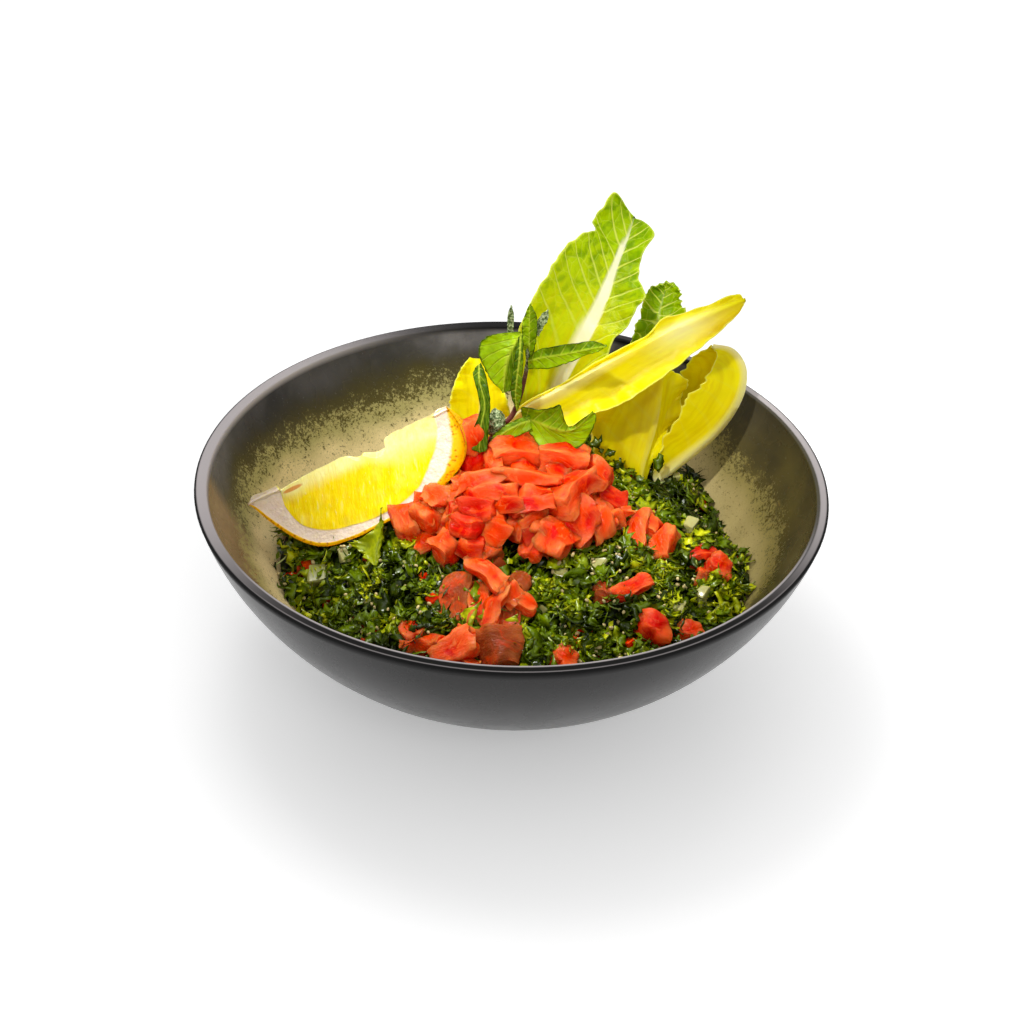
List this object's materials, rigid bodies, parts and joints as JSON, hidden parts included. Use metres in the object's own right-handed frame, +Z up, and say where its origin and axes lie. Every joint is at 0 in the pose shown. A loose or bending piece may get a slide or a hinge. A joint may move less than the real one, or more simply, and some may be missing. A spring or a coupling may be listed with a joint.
{
  "type": "tabbouleh salad",
  "caption": "Wide round stoneware bowl of chopped parsley salad, topped with diced tomato, a lemon wedge, lettuce leaves and a mint sprig.",
  "frame": {"origin": "middle of the bowl's foot, on the surface it stands on", "axes": "+Z up through the middle of the bowl, -Y towards the side it is served from, with the lemon wedge at -X"},
  "size_m": [0.2096, 0.2096, 0.1475],
  "materials": {
    "black_glaze": "satin black glaze with a speckled sand band inside",
    "parsley": "finely chopped, moist",
    "tomato": "wet cut flesh",
    "lemon": "wet cut flesh, pored rind",
    "lettuce": "crisp leaf with a pale rib",
    "mint": "matt leaf"
  },
  "bodies": {
    "root": {"bowl": "black_glaze", "parsley_heap": "parsley", "tomato_mound": "tomato", "tomato_trail": "tomato", "tomato_front": "tomato", "tomato_dice_1": "tomato", "tomato_dice_2": "tomato", "tomato_dice_3": "tomato", "tomato_dice_4": "tomato", "tomato_dice_5": "tomato", "tomato_dice_6": "tomato", "tomato_dice_7": "tomato", "lemon_wedge": "lemon", "lettuce_tall": "lettuce", "lettuce_back": "lettuce", "lettuce_long": "lettuce", "lettuce_curled": "lettuce", "lettuce_heart": "lettuce", "lettuce_left": "lettuce", "mint_sprig": "mint"}
  },
  "joints": []
}
